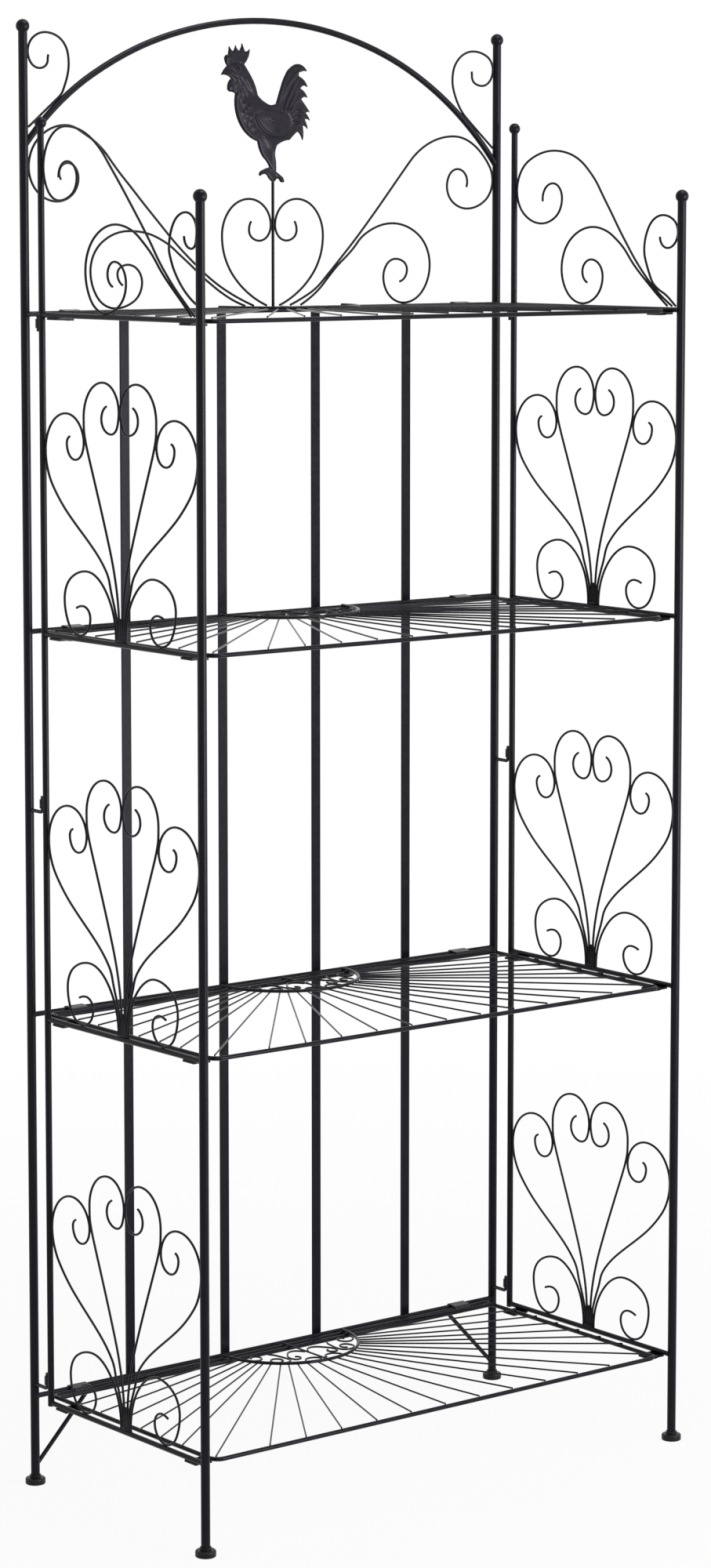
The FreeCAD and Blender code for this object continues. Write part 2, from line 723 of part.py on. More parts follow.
def fan_keys(curl_width):
    """Right half of the fan, with u from its middle and v from the rail's axis. The low curl is
    narrowed by the given share."""
    def cell(fractions):
        return in_cell(fractions, fan_half_width, fan_height, 0, rail_contact)

    foot_v = rail_radius + weld_gap
    def straight(place, share):
        u = place * bundle_pitch
        return [(u, foot_v, 90), (u, foot_v + share * bundle_stub_height, 90)]

    inner_start = straight(1, inner_straight_share)
    inner_rise = cell(((0.137, 0.348, 70), (0.400, 0.690, 68), (0.466, 0.785, 75)))
    inner_top = cell(((0.478, 0.860, 90), (0.221, 1.0, 180)))
    inner_touch = [(wire_radius + weld_gap, rail_contact + 0.8875 * fan_height, 270)]
    inner_curl = cell(((0.117, 0.801, 0), (0.241, 0.858, 90), (0.176, 0.908)))
    inner = inner_start + inner_rise + inner_top + inner_touch + inner_curl

    outer_start = straight(2, outer_straight_share)
    outer_rise = cell(((0.110, 0.165, 68), (0.189, 0.264, 52), (0.358, 0.348, 38), (0.683, 0.471, 38),
                       (1.0, 0.721, 90), (0.716, 0.871, 180)))
    outer_touch = [beside(inner_rise[-1], weld_pitch, turn_back=True)]
    outer_curl = cell(((0.599, 0.691, 0), (0.709, 0.754, 90), (0.670, 0.781)))
    outer = outer_start + outer_rise + outer_touch + outer_curl

    low_start = straight(3, low_straight_share)
    low_shares = ((0.228, 0.204, 45), (0.455, 0.256, 0), (0.755, 0.1375, 270), (0.553, 0.0, 180),
                  (0.407, 0.071, 90), (0.507, 0.1175, 0), (0.592, 0.1075))
    low_rise = in_cell(low_shares, curl_width * fan_half_width, fan_height, 0, rail_contact)
    return inner, outer, low_start + low_rise


def fan_panel(side, rail_height):
    """Six scroll wires that spring from a bundle on the rail, and the stub between them. Seen
    from outside, the low curl on the right is the narrower one on both sides of the rack."""
    place = side_plane(side)
    wires = []
    for hand in (-1, 1):
        def fan_plane(u, v, hand=hand):
            return place(fan_centre + hand * u, rail_height + v)
        curl_width = fan_narrow_curl if hand == -side else 1.0
        for keys in fan_keys(curl_width):
            wires.append(scroll(keys, fan_plane))
    stub_foot = rail_height + rail_radius + weld_gap
    stub = rod(place(fan_centre, stub_foot), place(fan_centre, stub_foot + bundle_stub_height),
               scroll_wire_diameter)
    return wires + [stub]


def top_scroll_keys(side):
    """The three wires above a side frame, as distances behind the front post's contact line."""
    width = frame_depth - post_contact - stile_setback - stile_contact
    base = top_rail_height + rail_contact

    def cell(fractions):
        return in_cell(fractions, -width, side_scroll_height, frame_depth - post_contact, base)

    if side > 0:
        long_s = cell((
            (0.032, 0.0), (0.143, 0.105, 141), (0.232, 0.224), (0.329, 0.388), (0.431, 0.581),
            (0.526, 0.750), (0.600, 0.833), (0.766, 0.891, 180), (1.0, 0.655, 270), (0.843, 0.464, 0),
            (0.712, 0.612, 90), (0.771, 0.700, 180), (0.834, 0.594),
        ))
        low_c = cell(((0.060, 0.0),)) + [beside(long_s[1], -weld_pitch)] + cell((
            (0.246, 0.208), (0.357, 0.361), (0.430, 0.422), (0.516, 0.446, 180), (0.712, 0.200, 270),
            (0.580, 0.0, 0), (0.455, 0.159, 90), (0.526, 0.257, 180), (0.581, 0.185, 270),
            (0.552, 0.123),
        ))
        small_c = cell(((0.010, 0.0), (0.050, 0.044, 143))) + [beside(long_s[1], weld_pitch)] + cell((
            (0.179, 0.211), (0.201, 0.318, 90), (0.089, 0.517, 0), (0.0, 0.421, 270),
            (0.062, 0.330, 180), (0.107, 0.394),
        ))
        return long_s, low_c, small_c
    long_s = cell((
        (0.014, 0.0), (0.102, 0.100, 141), (0.217, 0.252), (0.316, 0.421), (0.424, 0.592),
        (0.482, 0.681), (0.582, 0.829, 133), (0.849, 1.0, 180), (1.0, 0.780, 270), (0.894, 0.601, 0),
        (0.774, 0.725, 90), (0.839, 0.812, 180), (0.897, 0.725),
    ))
    low_c = cell(((0.036, 0.0),)) + [beside(long_s[1], -weld_pitch)] + cell((
        (0.200, 0.198), (0.310, 0.350), (0.422, 0.449), (0.519, 0.474, 180), (0.720, 0.221, 270),
        (0.592, 0.0, 0), (0.452, 0.162, 90), (0.527, 0.276, 180), (0.573, 0.207, 270), (0.541, 0.143),
    ))
    small_c = cell((
        (0.002, 0.062), (0.061, 0.114), (0.117, 0.190), (0.159, 0.282), (0.174, 0.352, 90),
        (0.068, 0.541, 0), (0.0, 0.447, 270), (0.034, 0.352, 180), (0.078, 0.418),
    ))
    return long_s, low_c, small_c


def side_rails(side):
    place = side_plane(side)
    rails = []
    for height in rail_heights:
        ends = [(place(stile_setback, height), V(0, 0, 1), stile_radius),
                (place(frame_depth, height), V(0, 0, 1), post_radius)]
        rails.append(coped(place(stile_setback, height), place(frame_depth, height), rail_diameter, ends))
    return rails


def shelf_rest(side, setback, height):
    """A joggled strip welded under the side rail, its inner end just under the shelf's rod."""
    seat = -rail_radius - weld_gap
    shelf = -shelf_rod_drop - shelf_rod_diameter / 2 - moving_gap
    reach = shelf_side_gap - shelf_rod_diameter / 2 + rest_overlap
    outer = rail_radius * rest_outer_share
    joggle_start = rest_joggle_start * reach
    joggle_end = rest_joggle_end * reach
    profile = [
        (-outer, seat), (joggle_start, seat), (joggle_end, shelf), (reach, shelf),
        (reach, shelf - rest_thickness), (joggle_end, shelf - rest_thickness),
        (joggle_start, seat - rest_thickness), (-outer, seat - rest_thickness), (-outer, seat),
    ]
    y = rear_y - setback - rest_length / 2
    outline = polyline([(side * (half_width - inset), y, height + drop) for inset, drop in profile])
    return Part.Face(Part.Wire(outline)).extrude(V(0, rest_length, 0))


# ---------------------------------------------------------------- shelves
def shelf_height(rail_height):
    return rail_height - shelf_rod_drop


def shelf_frame(rail_height):
    """A rounded loop of rod and a cross rod just in front of the hinge."""
    place = level_plane(shelf_height(rail_height))
    near = shelf_hinge_setback
    far = shelf_front_setback
    wide = shelf_half_width
    edges = []
    corners = ((wide, near, 1, 1), (wide, far, 1, -1), (-wide, far, -1, -1), (-wide, near, -1, 1))
    before = place(0, near)
    for u, s, across, along in corners:
        corner = shelf_rear_corner if along > 0 else shelf_front_corner
        bulge = corner * (1 - math.sqrt(0.5))
        inner_ends = [place(u - across * corner, s), place(u, s + along * corner)]
        if across * along < 0:
            inner_ends.reverse()
        middle = place(u - across * bulge, s + along * bulge)
        edges.append(Part.LineSegment(before, inner_ends[0]).toShape())
        edges.append(Part.Arc(inner_ends[0], middle, inner_ends[1]).toShape())
        before = inner_ends[1]
    edges.append(Part.LineSegment(before, place(0, near)).toShape())
    loop = swept(edges, shelf_rod_diameter)
    cross_setback = near + shelf_cross_rod_spacing
    ends = [(place(side * wide, cross_setback), V(0, 1, 0), shelf_rod_diameter / 2) for side in (-1, 1)]
    cross = coped(place(-wide, cross_setback), place(wide, cross_setback), shelf_rod_diameter, ends)
    return [loop, cross]


def ray_ends():
    """Where the rays' outer ends lie on the shelf's front rod, corners and side rods."""
    straight = shelf_half_width - shelf_front_corner
    front_pitch = straight / (front_rays_per_side + front_ray_end_gap)
    depth = shelf_front_setback - shelf_hinge_setback
    side_pitch = depth / (side_rays + 1)
    bulge = shelf_front_corner * (1 - math.sqrt(0.5))
    right = [(i * front_pitch, shelf_front_setback) for i in range(1, front_rays_per_side + 1)]
    right.append((shelf_half_width - bulge, shelf_front_setback - bulge))
    for i in range(side_rays):
        right.append((shelf_half_width, shelf_hinge_setback + (i + side_ray_lead) * side_pitch))
    return [(0, shelf_front_setback)] + right + [(-u, s) for u, s in right]


def shelf_rays(rail_height):
    """Thin rods laid on the shelf frame, spreading from the ring."""
    top = shelf_rod_diameter / 2 + weld_gap + ray_diameter / 2
    place = level_plane(shelf_height(rail_height) + top)
    inner_radius = ring_radius + ring_diameter / 2 + weld_gap
    rays = []
    for u, s in ray_ends():
        across = u - ring_offset
        along = s - shelf_hinge_setback
        fraction = inner_radius / math.hypot(across, along)
        start = place(ring_offset + across * fraction, shelf_hinge_setback + along * fraction)
        rays.append(rod(start, place(u, s), ray_diameter))
    return rays


def ring_scroll_keys():
    """Right half of the small scrolls inside the ring, as fractions of the ring's radius."""
    return (
        ((0.026, 0.500, 62), (0.160, 0.385, 0), (0.330, 0.520, 305), (0.372, 0.640, 270),
         (0.310, 0.735, 180), (0.235, 0.660, 90), (0.275, 0.610, 20)),
        ((0.490, 0.300, 250), (0.440, 0.420, 262), (0.415, 0.670, 275), (0.525, 0.765, 0),
         (0.665, 0.640, 90), (0.580, 0.530, 180), (0.495, 0.620, 270), (0.550, 0.680, 350)),
        ((0.914, 0.264, 270), (0.785, 0.460, 200), (0.660, 0.350, 90), (0.740, 0.270, 0),
         (0.780, 0.320, 300)),
        ((0.295, 0.925, 90), (0.170, 0.775, 180), (0.045, 0.880, 270)),
    )


def shelf_ring(rail_height):
    """The half ring over the rear rods, its middle bar and the mirrored scrolls inside it."""
    top = shelf_height(rail_height) + shelf_rod_diameter / 2 + weld_gap
    place = level_plane(top + ring_diameter / 2)
    hinge = shelf_hinge_setback
    ring = swept([Part.Arc(place(ring_offset - ring_radius, hinge),
                           place(ring_offset, hinge + ring_radius),
                           place(ring_offset + ring_radius, hinge)).toShape()], ring_diameter)
    low_place = level_plane(top + ring_scroll_diameter / 2)
    inner_reach = hinge + ring_radius - ring_diameter / 2 - weld_gap

    def centred(u, v):
        return low_place(ring_offset + u, v)

    pieces = [ring, rod(centred(0, hinge), centred(0, inner_reach), ring_scroll_diameter)]
    for plane in (centred, mirrored(centred)):
        for keys in ring_scroll_keys():
            placed = [(u * ring_radius, hinge + s * ring_radius, -heading) for u, s, heading in keys]
            pieces.append(scroll(placed, plane, ring_scroll_diameter))
    return pieces


# ---------------------------------------------------------------- the nodes
def export(name, solids):
    shape = solids[0] if len(solids) == 1 else Part.makeCompound(solids)
    shape.exportStep("parts/" + name + ".step")
    volume = sum(solid.Volume for solid in solids)
    print(name, len(solids), "solids,", round(volume), "mm3")


def build_back():
    tube_end = tube_end_below_ball(post_ball_diameter, post_diameter) + weld_gap
    for side, hand in ((-1, "left"), (1, "right")):
        plane = back_plane if side > 0 else mirrored(back_plane)
        x = side * half_width
        export("rear_post_" + hand, [post_tube(x, rear_y, rear_ball_height - tube_end)])
        export("rear_finial_" + hand, [post_finial(x, rear_y, rear_ball_height)])
        export("rear_foot_" + hand, [foot(x, rear_y)])
        export("crown_scroll_" + hand, [scroll(crown_scroll_keys(side), plane)])
        export("crown_lower_scroll_" + hand, [scroll(crown_lower_keys(side), plane)])
        export("hinge_pins_" + hand, [pin_arm(side, height, up) for height, up in pin_places])
    heart_planes = (stem_plane, mirrored(stem_plane))
    export("heart_scrolls", [scroll(heart_keys(), plane) for plane in heart_planes])
    export("arch_corner_scrolls", [
        scroll(corner_scroll_keys(-1), mirrored(back_plane)),
        scroll(corner_scroll_keys(1), back_plane),
    ])
    export("arch_tube", [arch()])
    export("rooster_stem", [rooster_stem()])
    export("rooster_ornament", bird().Solids)
    export("back_rails", back_rails())
    export("back_bars", back_bars())
    export("corner_braces", [corner_brace(side) for side in (-1, 1)])
    clips = [
        hinge_clip(side * (half_width - clip_inset), height)
        for height in rail_heights for side in (-1, 1)
    ]
    export("shelf_hinge_clips", clips)


def build_side(side, hand):
    x = side * half_width
    tube_end = tube_end_below_ball(post_ball_diameter, post_diameter) + weld_gap
    export("front_post_" + hand, [post_tube(x, front_y, front_ball_height - tube_end)])
    export("front_finial_" + hand, [post_finial(x, front_y, front_ball_height)])
    export("front_foot_" + hand, [foot(x, front_y)])
    stile_bottom = bottom_rail_height - stile_overhang
    export("stile_" + hand, [rod(V(x, stile_y, stile_bottom), V(x, stile_y, stile_top()), stile_diameter)])
    export("stile_finial_" + hand, [stile_finial(x, stile_y, stile_ball_height)])
    export("side_rails_" + hand, side_rails(side))
    export("top_scrolls_" + hand, [scroll(keys, side_plane(side)) for keys in top_scroll_keys(side)])
    for name, height in zip(("low", "middle", "high"), rail_heights):
        export("fan_panel_" + name + "_" + hand, fan_panel(side, height))
    export("hinge_sleeves_" + hand, [hinge_sleeve(side, height, up) for height, up in pin_places])
    rests = [
        shelf_rest(side, setback, height)
        for height in rail_heights
        for setback in (rest_rear_setback, frame_depth - rest_front_inset)
    ]
    export("shelf_rests_" + hand, rests)


def build_shelves():
    for number, height in enumerate(rail_heights, start=1):
        name = "shelf_" + str(number)
        export(name + "_frame", shelf_frame(height))
        export(name + "_rays", shelf_rays(height))
        export(name + "_ring", shelf_ring(height))


os.makedirs("parts", exist_ok=True)
build_back()
build_side(-1, "left")
build_side(1, "right")
build_shelves()
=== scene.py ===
import json
import math

import bpy
import numpy as np
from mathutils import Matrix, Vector, geometry, kdtree


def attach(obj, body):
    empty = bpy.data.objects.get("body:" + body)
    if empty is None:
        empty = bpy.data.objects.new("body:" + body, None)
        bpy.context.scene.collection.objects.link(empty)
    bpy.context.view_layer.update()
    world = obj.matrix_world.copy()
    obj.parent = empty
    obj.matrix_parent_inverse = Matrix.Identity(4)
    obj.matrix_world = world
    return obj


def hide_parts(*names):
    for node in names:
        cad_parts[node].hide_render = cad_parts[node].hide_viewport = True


# The bakers rack, dressed. Every node keeps its own mesh and gets a procedural coat, apart from the
# bird, which a cast relief on the same outline replaces. Weld metal is added where the wires and
# rails meet. Metres, apart from the relief, which is written in millimetres.

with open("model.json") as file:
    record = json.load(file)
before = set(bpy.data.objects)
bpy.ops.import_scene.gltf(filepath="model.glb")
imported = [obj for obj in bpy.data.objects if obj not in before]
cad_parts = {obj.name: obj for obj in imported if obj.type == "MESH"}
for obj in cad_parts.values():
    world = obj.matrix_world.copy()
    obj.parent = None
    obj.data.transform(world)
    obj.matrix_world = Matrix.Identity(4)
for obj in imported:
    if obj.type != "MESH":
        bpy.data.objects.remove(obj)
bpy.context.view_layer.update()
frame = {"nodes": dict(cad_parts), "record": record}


nodes = frame["nodes"]

# ---------------------------------------------------------------- rack dimensions
MM = 0.001
HALF_WIDTH = 0.3715
REAR_Y = 0.178
FRONT_Y = -0.178
STILE_Y = 0.142
FAN_Y = -0.018
RAIL_HEIGHTS = (0.111, 0.591, 1.063, 1.447)
FAN_COUNT = 3
SIDES = (("left", -1), ("right", 1))
POST_RADIUS = 0.0055
STILE_RADIUS = 0.004
RAIL_RADIUS = 0.0032

# ---------------------------------------------------------------- material settings
# Colours are linear. Each coat runs from its dark colour to its light one in faint clouds.
COOL_GLOSS = (0.94, 0.90, 1.0, 1.0)
COATS = {
    "powder_coat": {
        "name": "satin_powder_coat",
        "dark": (0.0042, 0.0036, 0.0060, 1.0),
        "light": (0.0074, 0.0065, 0.0102, 1.0),
        "roughness": (0.19, 0.27),
        "peel": 0.00001,
        "gloss": 0.14,
    },
    "ornament_coat": {
        "name": "cast_ornament_coat",
        "dark": (0.0062, 0.0053, 0.0086, 1.0),
        "light": (0.0108, 0.0096, 0.0144, 1.0),
        "roughness": (0.21, 0.31),
        "peel": 0.00002,
        "gloss": 0.16,
    },
    "hinge_coat": {
        "name": "hinge_coat",
        "dark": (0.0070, 0.0070, 0.0080, 1.0),
        "light": (0.0130, 0.0130, 0.0138, 1.0),
        "roughness": (0.20, 0.32),
        "peel": 0.00002,
        "gloss": 0.24,
    },
}
CLOUD_SCALE = 38.0
CLOUD_STOPS = (0.32, 0.72)
SPECK_SCALE = 2600.0
SPECK_SPAN = (0.70, 0.76)
SPECK_LIGHTENING = 2.2
WEAR_SCALE = 120.0
WEAR_SPAN = (0.3, 0.7)
WIDE_PEEL_SCALE = 420.0
WIDE_PEEL_STRENGTH = 0.35
WIDE_PEEL_SHARE = 2.0
FINE_PEEL_SCALE = 1500.0
FINE_PEEL_STRENGTH = 0.5

RUB_COLOR = (0.085, 0.092, 0.080, 1.0)
RUB_SCALE = 210.0
RUB_SPAN = (0.56, 0.68)

RUBBER_DARK = (0.0030, 0.0030, 0.0034, 1.0)
RUBBER_LIGHT = (0.0085, 0.0085, 0.0090, 1.0)
RUBBER_DUST_SCALE = 55.0
RUBBER_STOPS = (0.35, 0.75)
RUBBER_WEAR_SCALE = 180.0
RUBBER_ROUGHNESS = (0.30, 0.46)
RUBBER_GRAIN_SCALE = 900.0
RUBBER_GRAIN_STRENGTH = 0.4
RUBBER_GRAIN_DEPTH = 0.00004
RUBBER_GLOSS = 0.2


# ---------------------------------------------------------------- materials
class Graph:
    """Short calls for building one material's nodes."""

    def __init__(self, name):
        self.material = bpy.data.materials.new(name)
        self.material.use_nodes = True
        self.tree = self.material.node_tree
        self.shader = self.tree.nodes["Principled BSDF"]
        self.coordinates = self.add("ShaderNodeTexCoord").outputs["Object"]

    def add(self, kind, **settings):
        node = self.tree.nodes.new(kind)
        for key, value in settings.items():
            setattr(node, key, value)
        return node

    def link(self, source, target):
        self.tree.links.new(source, target)

    def feed(self, source, name):
        """Link a socket to one of the shader's own."""
        self.link(source, self.shader.inputs[name])

    def fix(self, name, value):
        """Set one of the shader's sockets to a value that is the same all over."""
        self.shader.inputs[name].default_value = value

    def noise(self, scale, detail=3.0, roughness=0.55):
        node = self.add("ShaderNodeTexNoise")
        node.inputs["Scale"].default_value = scale
        node.inputs["Detail"].default_value = detail
        node.inputs["Roughness"].default_value = roughness
        self.link(self.coordinates, node.inputs["Vector"])
        return node.outputs["Fac"]

    def ramp(self, source, places, colors):
        node = self.add("ShaderNodeValToRGB")
        for element, place, color in zip(node.color_ramp.elements, places, colors):
            element.position = place
            element.color = color
        self.link(source, node.inputs["Fac"])
        return node.outputs["Color"]

    def span(self, source, low, high, start=0.0, end=1.0):
        node = self.add("ShaderNodeMapRange")
        node.inputs["From Min"].default_value = start
        node.inputs["From Max"].default_value = end
        node.inputs["To Min"].default_value = low
        node.inputs["To Max"].default_value = high
        self.link(source, node.inputs["Value"])
        return node.outputs["Result"]

    def mix(self, factor, first, second):
        """The colour of one socket, going over to a plain colour where the factor is 1."""
        node = self.add("ShaderNodeMix", data_type="RGBA")
        color_a = node.inputs[6]
        color_b = node.inputs[7]
        self.link(factor, node.inputs["Factor"])
        self.link(first, color_a)
        color_b.default_value = second
        return node.outputs[2]

    def bump(self, height, strength, distance, normal=None):
        node = self.add("ShaderNodeBump")
        node.inputs["Strength"].default_value = strength
        node.inputs["Distance"].default_value = distance
        self.link(height, node.inputs["Height"])
        if normal is not None:
            self.link(normal, node.inputs["Normal"])
        return node.outputs["Normal"]


def powder_coat(name, dark, light, roughness, peel, gloss):
    """Satin powder coat: faint cloudiness, an orange-peel surface and tiny specks."""
    graph = Graph(name)
    cloud = graph.noise(CLOUD_SCALE, 4.0, 0.6)
    fine = graph.noise(FINE_PEEL_SCALE, 2.0, 0.5)
    colour = graph.ramp(cloud, CLOUD_STOPS, (dark, light))
    specks = graph.span(graph.noise(SPECK_SCALE, 1.0, 0.4), 0.0, 1.0, *SPECK_SPAN)
    speck_color = tuple(c * SPECK_LIGHTENING for c in light[:3]) + (1.0,)
    graph.feed(graph.mix(specks, colour, speck_color), "Base Color")
    graph.feed(graph.span(graph.noise(WEAR_SCALE, 4.0, 0.65), *roughness, *WEAR_SPAN), "Roughness")
    wide = graph.bump(graph.noise(WIDE_PEEL_SCALE, 2.0, 0.5), WIDE_PEEL_STRENGTH, peel * WIDE_PEEL_SHARE)
    graph.feed(graph.bump(fine, FINE_PEEL_STRENGTH, peel, wide), "Normal")
    graph.fix("Specular IOR Level", gloss)
    graph.fix("Specular Tint", COOL_GLOSS)
    return graph


def rub_hinges(graph):
    """Bare, slightly green patches where the hinge parts rub."""
    base = graph.shader.inputs["Base Color"].links[0].from_socket
    rub = graph.span(graph.noise(RUB_SCALE, 5.0, 0.7), 0.0, 1.0, *RUB_SPAN)
    graph.feed(graph.mix(rub, base, RUB_COLOR), "Base Color")


def foot_rubber():
    graph = Graph("foot_rubber")
    dust = graph.noise(RUBBER_DUST_SCALE, 5.0, 0.7)
    graph.feed(graph.ramp(dust, RUBBER_STOPS, (RUBBER_DARK, RUBBER_LIGHT)), "Base Color")
    graph.feed(graph.span(graph.noise(RUBBER_WEAR_SCALE), *RUBBER_ROUGHNESS), "Roughness")
    grain = graph.noise(RUBBER_GRAIN_SCALE, 3.0)
    graph.feed(graph.bump(grain, RUBBER_GRAIN_STRENGTH, RUBBER_GRAIN_DEPTH), "Normal")
    graph.fix("Specular IOR Level", RUBBER_GLOSS)
    return graph.material


def make_materials():
    made = {}
    for slot, settings in COATS.items():
        graph = powder_coat(**settings)
        if slot == "hinge_coat":
            rub_hinges(graph)
        made[slot] = graph.material
    made["foot_rubber"] = foot_rubber()
    return made


materials = make_materials()
for row in frame["record"]["subparts"]:
    mesh = nodes[row["node"]].data
    mesh.materials.clear()
    mesh.materials.append(materials[row["material_slot"]])


def finished(name, points, faces, slot, body):
    """A smooth piece that rides one body and wears one slot's material."""
    mesh = bpy.data.meshes.new(name)
    mesh.from_pydata([tuple(point) for point in points], [], [tuple(face) for face in faces])
    mesh.validate()
    mesh.shade_smooth()
    mesh.materials.append(materials[slot])
    piece = bpy.data.objects.new(name, mesh)
    bpy.context.scene.collection.objects.link(piece)
    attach(piece, body)
    return piece


# ---------------------------------------------------------------- the cast bird's relief
# The relief is in millimetres, right of the stem and above its top, like the plate.
STEM_X = 3.4
STEM_TOP = 1606.45
OUTLINE_SPACING = 0.75
RIM_RINGS = (0.35, 0.85, 1.5)
RIM_CLEARANCE_SHARE = 0.93
FLAT_WALL_NORMAL = 0.2
MERGE_DISTANCE = 1e-5

# Thickness of one half: at the outline, its rounding and where the modelling sets in
PLATE_EDGE = 1.0
EDGE_SWELL = 1.3
EDGE_ROUNDING = 3.2
MODELLING_MARGIN = 2.2
RELIEF_LIMIT = 3.9

# Lines fade towards their ends, and a quill has a groove on the left of its run
RIDGE_TAPER = 0.25
RIDGE_END_SHARE = 0.25
QUILL_TAPER = 0.2
QUILL_GROOVE_DEPTH = 1.3
QUILL_GROOVE_PLACE = 0.5
QUILL_GROOVE_WIDTH = 0.7

# Swellings: centre, radius and height
SWELLINGS = (
    ((-38, 82), 22, 0.8),         # breast
    ((-56, 137), 10, 0.45),       # cheek
    ((-9, 46), 9, 0.5),           # thigh
    ((4, 72), 26, 0.35),          # flank
    ((-70.5, 151.5), 3.2, 0.7),   # front lobe of the comb
    ((-65.0, 115.5), 3.4, 0.6),   # wattle
)
BREAST_BUMP_RADIUS = 2.6
BREAST_BUMP_HEIGHT = 0.5
BREAST_BUMPS = (
    (-45.9, 95.0), (-42.9, 87.6), (-47.6, 84.0), (-40.6, 81.1), (-34.5, 79.4), (-36.0, 71.3),
    (-38.3, 91.3), (-43.5, 76.0), (-30.5, 64.5),
)

# The wing stands on the body with a groove round it
WING_HEIGHT = 0.9
WING_EDGE_START = -0.6
WING_EDGE_WIDTH = 1.6
WING_GROOVE_DEPTH = 0.45
WING_GROOVE_PLACE = -1.2
WING_GROOVE_WIDTH = 1.1
WING = (
    (-27.6, 83.7), (-28.9, 78.0), (-25.3, 70.9), (-18.4, 63.7), (-9.2, 57.7), (6.3, 55.1), (15.6, 57.9),
    (23.4, 65.3), (25.6, 75.1), (21.0, 83.0), (6.3, 87.2), (-7.6, 88.6), (-19.9, 87.3), (-27.6, 83.7),
)

# Plumage: each group's lines share a width and a height
WING_FEATHER_SIZE = (0.75, 0.42)
WING_FEATHERS = (
    ((-23.0, 81.3), (-19.9, 74.7), (-13.0, 68.0), (-1.4, 62.0), (10.2, 61.5), (18.7, 69.0)),
    ((-20.0, 81.4), (-17.2, 75.0), (-10.3, 69.0), (1.3, 64.2), (11.8, 65.2), (16.5, 71.0)),
    ((-16.8, 81.4), (-14.5, 75.3), (-7.6, 69.9), (4.0, 66.4), (13.3, 68.9)),
    ((-13.7, 81.2), (-11.8, 76.0), (-5.3, 71.5), (5.5, 68.9), (12.0, 72.0)),
    ((-10.7, 80.9), (-9.1, 76.6), (-3.0, 73.0), (7.1, 71.3)),
    ((-7.0, 80.6), (-5.8, 77.8), (-0.8, 75.4), (6.5, 74.4)),
)
TAIL_QUILL_SIZE = (1.2, 0.75)
TAIL_QUILLS = (
    ((15.6, 90.2), (21.9, 104.5), (30.8, 119.3), (39.0, 130.2)),
    ((21.1, 89.0), (28.1, 101.1), (35.4, 110.8), (42.4, 116.2)),
    ((25.7, 87.2), (32.3, 95.6), (38.5, 100.2), (44.6, 103.0)),
    ((29.0, 83.2), (38.0, 88.6), (50.3, 86.6)),
    ((31.9, 79.3), (40.5, 81.0), (49.4, 78.0)),
    ((32.7, 74.2), (40.5, 73.1), (46.2, 69.8)),
)
HACKLE_SIZE = (1.25, 0.8)
HACKLES = (
    ((-50.1, 130.1), (-45.1, 124.2), (-42.0, 120.0), (-34.4, 111.0)),
    ((-54.2, 127.6), (-50.1, 120.4), (-48.6, 112.0), (-46.7, 103.5)),
    ((-59.6, 126.3), (-56.2, 119.1), (-55.4, 110.7), (-54.3, 103.4)),
    ((-45.1, 128.8), (-38.2, 120.6), (-30.4, 107.6)),
    ((-47.6, 120.7), (-43.0, 113.0), (-40.5, 105.9)),
    ((-52.4, 112.0), (-51.0, 106.0), (-50.2, 98.4)),
)

# Single lines: width, height (below zero for a groove) and keys
TAIL_RIB = (2.0, 0.45, ((10.2, 93.3), (15.7, 106.8), (24.2, 121.7), (36.7, 135.3), (45.2, 140.4)))
UPPER_BEAK = (1.2, 0.7, ((-80.0, 131.6), (-74.7, 133.9), (-67.9, 135.0), (-61.1, 134.0), (-53.0, 131.4)))
MOUTH = (0.9, -0.55, ((-78.5, 130.8), (-69.4, 131.6), (-61.1, 130.0), (-53.5, 127.4)))
COMB_ROOT = (1.3, -0.5, ((-71.7, 143.7), (-64.1, 145.6), (-54.9, 146.4), (-46.6, 144.1)))
WATTLE_FOLD = (1.1, -0.6, ((-60.5, 124.5), (-60.8, 117.0), (-60.0, 109.5)))
THIGH = (1.9, 0.7, ((-14.8, 56.0), (-9.2, 47.9), (-4.3, 39.2)))
SHANK = (1.5, 0.7, ((0.4, 40.2), (1.0, 26.0), (0.6, 11.7)))
FRONT_TOE = (1.3, 0.5, ((-2.2, 12.0), (-6.2, 16.6), (-15.4, 14.2), (-21.6, 9.4)))
REAR_TOE = (1.3, 0.5, ((1.9, 11.1), (7.9, 6.5), (14.5, 1.0)))
SINGLE_LINES = (TAIL_RIB, UPPER_BEAK, MOUTH, COMB_ROOT, WATTLE_FOLD, THIGH, SHANK, FRONT_TOE, REAR_TOE)

# The eye's rings: radius, width and height of the lid, the groove inside it and the pupil
EYE = (-57.0, 139.4)
EYE_RINGS = ((4.2, 1.0, 0.55), (2.3, 0.9, -0.8), (0.0, 1.1, 0.35))


def to_plate(point):
    return (point[0] / MM - STEM_X, point[2] / MM - STEM_TOP)


